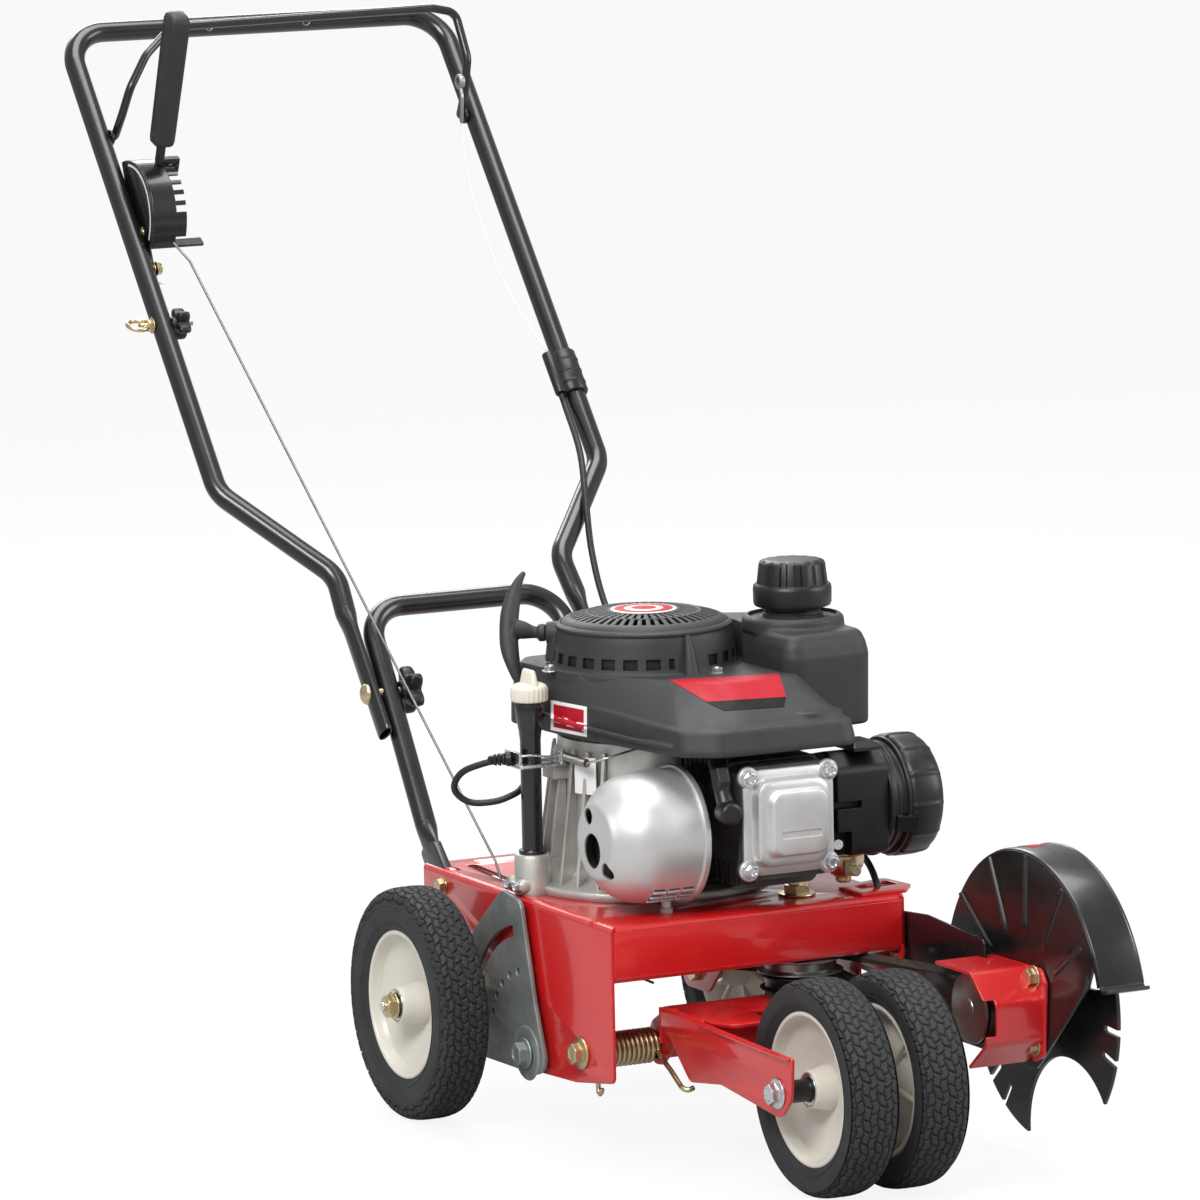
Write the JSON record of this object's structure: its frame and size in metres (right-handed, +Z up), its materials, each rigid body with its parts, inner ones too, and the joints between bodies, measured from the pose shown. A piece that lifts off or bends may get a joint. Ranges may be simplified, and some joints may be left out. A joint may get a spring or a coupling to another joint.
{
  "type": "lawn edger",
  "caption": "Walk-behind petrol lawn edger: star blade under a guard, twin front wheels on a depth bracket, curb-hop rear wheel, folding tube handle with blade bail and depth lever.",
  "frame": {"origin": "on the ground, under the middle of the machine: bottom centre of the bounding box, 48.5 mm behind the rear axle", "axes": "+Z up, -Y forward (towards the front wheels and blade), +X towards the blade side"},
  "size_m": [0.4594, 1.236, 0.9365],
  "materials": {
    "red_paint": "gloss",
    "black_paint": "gloss",
    "yellow_zinc": "zinc plated",
    "cast_alloy": "cast",
    "head_black": "matte",
    "cover_silver": "satin",
    "muffler_steel": "satin",
    "shroud_plastic": "fine texture",
    "black_plastic": "satin",
    "galvanised": "galvanised",
    "bright_zinc": "zinc plated",
    "cable_jacket": "satin",
    "belt_rubber": "matte",
    "wire_steel": "drawn",
    "liner_white": "satin",
    "rim_ivory": "satin",
    "tyre_rubber": "matte",
    "grip_rubber": "matte",
    "shaft_steel": "oiled",
    "blade_steel": "satin",
    "cream_plastic": "satin"
  },
  "bodies": {
    "chassis": {"deck": "red_paint", "lower_handle": "black_paint", "fasteners": "yellow_zinc", "crankcase": "cast_alloy", "cylinder_head": "head_black", "valve_cover": "cover_silver", "muffler": "muffler_steel", "engine_shroud": "shroud_plastic", "recoil_cover": "shroud_plastic", "fuel_tank": "shroud_plastic", "air_filter": "black_plastic", "carburettor": "yellow_zinc", "oil_tube": "black_plastic", "cable_clamp": "galvanised", "engine_cable": "cable_jacket", "spindle_bracket": "red_paint", "spindle_housing": "black_paint", "support_plate": "black_paint", "blade_guard": "black_plastic", "far_axle": "yellow_zinc", "drive_belt": "belt_rubber", "bracket_pivot": "yellow_zinc", "return_spring": "yellow_zinc", "curb_pivot": "bright_zinc", "depth_wire": "wire_steel", "control_cable": "cable_jacket", "fold_bolts": "yellow_zinc"},
    "front_bracket": {"front_bracket": "red_paint", "front_axle": "bright_zinc"},
    "front_wheel_near": {"front_rim_near": "rim_ivory", "front_tyre_near": "tyre_rubber"},
    "front_wheel_far": {"front_rim_far": "rim_ivory", "front_tyre_far": "tyre_rubber"},
    "curb_arm": {"curb_plate": "galvanised", "near_axle": "yellow_zinc"},
    "rear_wheel_near": {"rear_rim_near": "rim_ivory", "rear_tyre_near": "tyre_rubber"},
    "rear_wheel_far": {"rear_rim_far": "rim_ivory", "rear_tyre_far": "tyre_rubber"},
    "upper_handle": {"upper_handle": "black_paint", "depth_quadrant": "black_paint", "rope_guide": "yellow_zinc", "cable_sleeve": "black_plastic", "inner_cable": "liner_white"},
    "bail": {"bail": "black_paint"},
    "depth_lever": {"depth_lever": "black_paint", "lever_grip": "grip_rubber"},
    "knob_near": {"knob_near": "black_plastic"},
    "knob_far": {"knob_far": "black_plastic"},
    "knob_guide": {"knob_guide": "black_plastic"},
    "crank": {"crankshaft": "shaft_steel", "crank_pulley": "shaft_steel"},
    "idler_arm": {"idler_arm": "black_paint"},
    "guide_upper": {"guide_upper": "shaft_steel"},
    "guide_lower": {"guide_lower": "shaft_steel"},
    "blade": {"blade_shaft": "shaft_steel", "blade": "blade_steel"},
    "starter_grip": {"starter_grip": "grip_rubber"},
    "fuel_cap": {"fuel_cap": "black_plastic"},
    "dipstick": {"dipstick": "cream_plastic"}
  },
  "joints": [
    {"name": "bracket_swing", "type": "hinge", "parent": "chassis", "child": "front_bracket", "pos_m": [0.0202, -0.257, 0.0877], "axis": [1, 0, 0], "range_deg": [-18, 0], "deforming": ["return_spring"]},
    {"name": "front_near_spin", "type": "hinge", "parent": "front_bracket", "child": "front_wheel_near", "pos_m": [-0.0128, -0.5035, 0.091], "axis": [1, 0, 0], "continuous": true},
    {"name": "front_far_spin", "type": "hinge", "parent": "front_bracket", "child": "front_wheel_far", "pos_m": [0.0532, -0.5035, 0.091], "axis": [1, 0, 0], "continuous": true},
    {"name": "curb_drop", "type": "hinge", "parent": "chassis", "child": "curb_arm", "pos_m": [-0.1203, -0.1694, 0.0734], "axis": [1, 0, 0], "range_deg": [-56, 0]},
    {"name": "rear_near_spin", "type": "hinge", "parent": "curb_arm", "child": "rear_wheel_near", "pos_m": [-0.1663, -0.0485, 0.1016], "axis": [1, 0, 0], "continuous": true},
    {"name": "rear_far_spin", "type": "hinge", "parent": "chassis", "child": "rear_wheel_far", "pos_m": [0.1587, -0.0485, 0.1016], "axis": [1, 0, 0], "continuous": true},
    {"name": "handle_fold", "type": "hinge", "parent": "chassis", "child": "upper_handle", "pos_m": [-0.0023, 0.1375, 0.344], "axis": [1, 0, 0], "range_deg": [-60, 95], "deforming": ["depth_wire", "control_cable"]},
    {"name": "bail_squeeze", "type": "hinge", "parent": "upper_handle", "child": "bail", "pos_m": [-0.0023, 0.5345, 0.816], "axis": [1, 0, 0], "range_deg": [-44, 0], "deforming": ["inner_cable"]},
    {"name": "depth_lever_swing", "type": "hinge", "parent": "upper_handle", "child": "depth_lever", "pos_m": [-0.1623, 0.4905, 0.748], "axis": [1, 0, 0], "range_deg": [0, 60]},
    {"name": "fold_knob_near_turn", "type": "hinge", "parent": "chassis", "child": "knob_near", "pos_m": [-0.0798, 0.1375, 0.344], "axis": [1, 0, 0], "continuous": true},
    {"name": "fold_knob_far_turn", "type": "hinge", "parent": "chassis", "child": "knob_far", "pos_m": [0.0752, 0.1375, 0.344], "axis": [1, 0, 0], "continuous": true},
    {"name": "guide_knob_turn", "type": "hinge", "parent": "upper_handle", "child": "knob_guide", "pos_m": [-0.1753, 0.4035, 0.655], "axis": [1, 0, 0], "continuous": true},
    {"name": "crank_spin", "type": "hinge", "parent": "chassis", "child": "crank", "pos_m": [0.0117, -0.1435, 0.3], "axis": [0, 0, 1], "continuous": true},
    {"name": "idler_engage", "type": "hinge", "parent": "chassis", "child": "idler_arm", "pos_m": [0.0637, -0.2085, 0.16], "axis": [0, 0, 1], "range_deg": [0, 5.8]},
    {"name": "guide_upper_spin", "type": "hinge", "parent": "idler_arm", "child": "guide_upper", "pos_m": [0.0857, -0.2795, 0.1485], "axis": [0, 0, 1], "continuous": true},
    {"name": "guide_lower_spin", "type": "hinge", "parent": "idler_arm", "child": "guide_lower", "pos_m": [0.0857, -0.2795, 0.1335], "axis": [0, 0, 1], "continuous": true},
    {"name": "blade_spin", "type": "hinge", "parent": "chassis", "child": "blade", "pos_m": [0.1777, -0.4765, 0.136], "axis": [1, 0, 0], "continuous": true},
    {"name": "starter_pull", "type": "slide", "parent": "chassis", "child": "starter_grip", "axis": [-0.866, 0.5, 0], "range_m": [0, 0.14]},
    {"name": "fuel_cap_turn", "type": "hinge", "parent": "chassis", "child": "fuel_cap", "pos_m": [0.1277, -0.1985, 0.46], "axis": [0, 0, 1], "continuous": true},
    {"name": "dipstick_pull", "type": "slide", "parent": "chassis", "child": "dipstick", "axis": [0, 0, 1], "range_m": [0, 0.13]}
  ],
  "couplings": [
    {"joint": "depth_lever_swing", "follows": "bracket_swing", "ratio": -3.3333},
    {"joint": "idler_engage", "follows": "bail_squeeze", "ratio": -0.13182},
    {"joint": "blade_spin", "follows": "crank_spin", "ratio": -1.1111},
    {"joint": "guide_upper_spin", "follows": "crank_spin", "ratio": 0.8934},
    {"joint": "guide_lower_spin", "follows": "crank_spin", "ratio": -0.8934}
  ]
}
